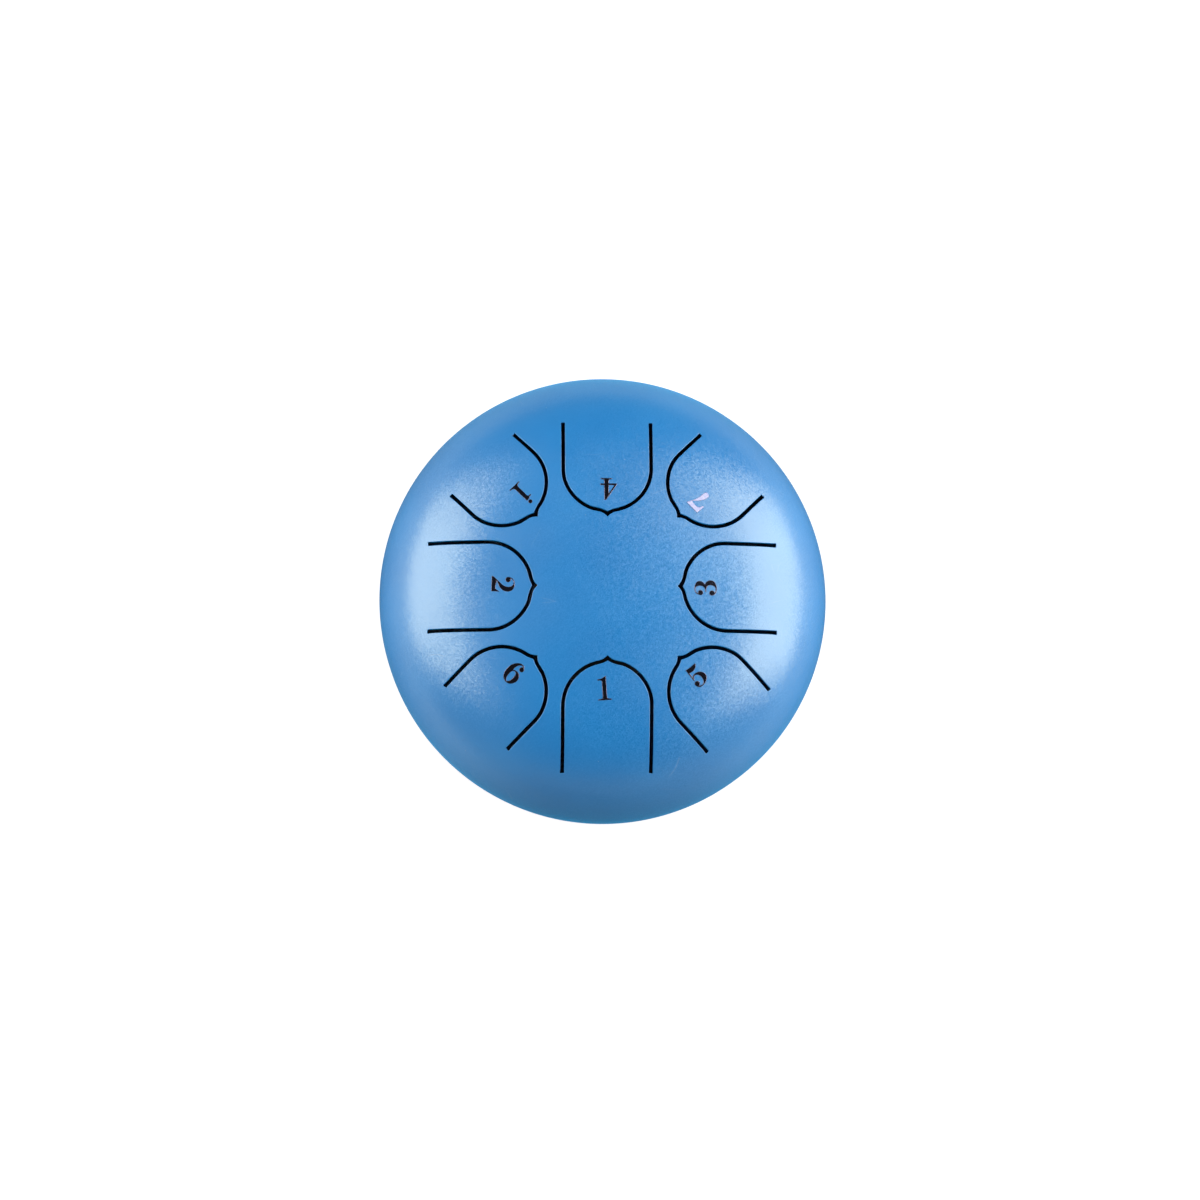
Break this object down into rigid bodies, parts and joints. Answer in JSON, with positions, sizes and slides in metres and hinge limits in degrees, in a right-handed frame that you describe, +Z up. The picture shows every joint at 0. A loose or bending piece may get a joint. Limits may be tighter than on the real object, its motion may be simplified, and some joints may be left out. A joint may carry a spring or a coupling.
{
  "type": "steel tongue drum",
  "caption": "Round steel tongue drum: two pressed blue shells joined at a seam, U-cut sprung tongues with plain note figures, sound hole and rubber feet below.",
  "frame": {"origin": "on the ground under the middle of the drum, between the feet", "axes": "+Z up along the drum's axis, -Y towards the player and tongue 1, +X to the right, towards tongue 3"},
  "size_m": [0.152, 0.152, 0.0846],
  "materials": {
    "blue_paint": "satin metallic blue paint on pressed steel",
    "figure_film": "dark mirror film",
    "adhesive": "cured structural adhesive",
    "magnet_plating": "nickel plating",
    "zinc_steel": "bright zinc plating",
    "foot_rubber": "moulded black rubber"
  },
  "bodies": {
    "shell": {"top_shell": "blue_paint", "bottom_shell": "blue_paint", "seam_adhesive": "adhesive", "foot_1": "foot_rubber", "foot_2": "foot_rubber", "foot_3": "foot_rubber", "foot_screw_1": "zinc_steel", "foot_screw_2": "zinc_steel", "foot_screw_3": "zinc_steel", "foot_washer_1": "zinc_steel", "foot_washer_2": "zinc_steel", "foot_washer_3": "zinc_steel", "foot_nut_1": "zinc_steel", "foot_nut_2": "zinc_steel", "foot_nut_3": "zinc_steel"},
    "blade_1": {"tongue_1": "blue_paint", "number_1": "figure_film", "magnet_1": "magnet_plating"},
    "blade_2": {"tongue_2": "blue_paint", "number_2": "figure_film", "magnet_2": "magnet_plating"},
    "blade_3": {"tongue_3": "blue_paint", "number_3": "figure_film", "magnet_3": "magnet_plating"},
    "blade_4": {"tongue_4": "blue_paint", "number_4": "figure_film", "magnet_4": "magnet_plating"},
    "blade_5": {"tongue_5": "blue_paint", "number_5": "figure_film", "magnet_5": "magnet_plating"},
    "blade_6": {"tongue_6": "blue_paint", "number_6": "figure_film", "magnet_6": "magnet_plating"},
    "blade_7": {"tongue_7": "blue_paint", "number_7": "figure_film", "magnet_7": "magnet_plating"},
    "blade_high_1": {"tongue_high_1": "blue_paint", "number_high_1": "figure_film", "magnet_high_1": "magnet_plating"}
  },
  "joints": [
    {"name": "tongue_1_flex", "type": "hinge", "parent": "shell", "child": "blade_1", "pos_m": [0, -0.06086, 0.07506], "axis": [-1, 0, 0], "range_deg": [-0.8, 0.8], "stiffness_Nm_per_rad": 64},
    {"name": "tongue_2_flex", "type": "hinge", "parent": "shell", "child": "blade_2", "pos_m": [-0.05896, 0, 0.07618], "axis": [0, 1, 0], "range_deg": [-0.8, 0.8], "stiffness_Nm_per_rad": 67},
    {"name": "tongue_3_flex", "type": "hinge", "parent": "shell", "child": "blade_3", "pos_m": [0.05616, 0, 0.07753], "axis": [0, -1, 0], "range_deg": [-0.8, 0.8], "stiffness_Nm_per_rad": 73},
    {"name": "tongue_4_flex", "type": "hinge", "parent": "shell", "child": "blade_4", "pos_m": [0, 0.05546, 0.07782], "axis": [1, 0, 0], "range_deg": [-0.8, 0.8], "stiffness_Nm_per_rad": 74},
    {"name": "tongue_5_flex", "type": "hinge", "parent": "shell", "child": "blade_5", "pos_m": [0.04359, -0.04359, 0.07454], "axis": [-0.7071, -0.7071, 0], "range_deg": [-0.8, 0.8], "stiffness_Nm_per_rad": 82},
    {"name": "tongue_6_flex", "type": "hinge", "parent": "shell", "child": "blade_6", "pos_m": [-0.04288, -0.04288, 0.0752], "axis": [-0.7071, 0.7071, 0], "range_deg": [-0.8, 0.8], "stiffness_Nm_per_rad": 85},
    {"name": "tongue_7_flex", "type": "hinge", "parent": "shell", "child": "blade_7", "pos_m": [0.04182, 0.04182, 0.07608], "axis": [0.7071, -0.7071, 0], "range_deg": [-0.8, 0.8], "stiffness_Nm_per_rad": 90},
    {"name": "tongue_high_1_flex", "type": "hinge", "parent": "shell", "child": "blade_high_1", "pos_m": [-0.04126, 0.04126, 0.07651], "axis": [0.7071, 0.7071, 0], "range_deg": [-0.8, 0.8], "stiffness_Nm_per_rad": 93}
  ]
}
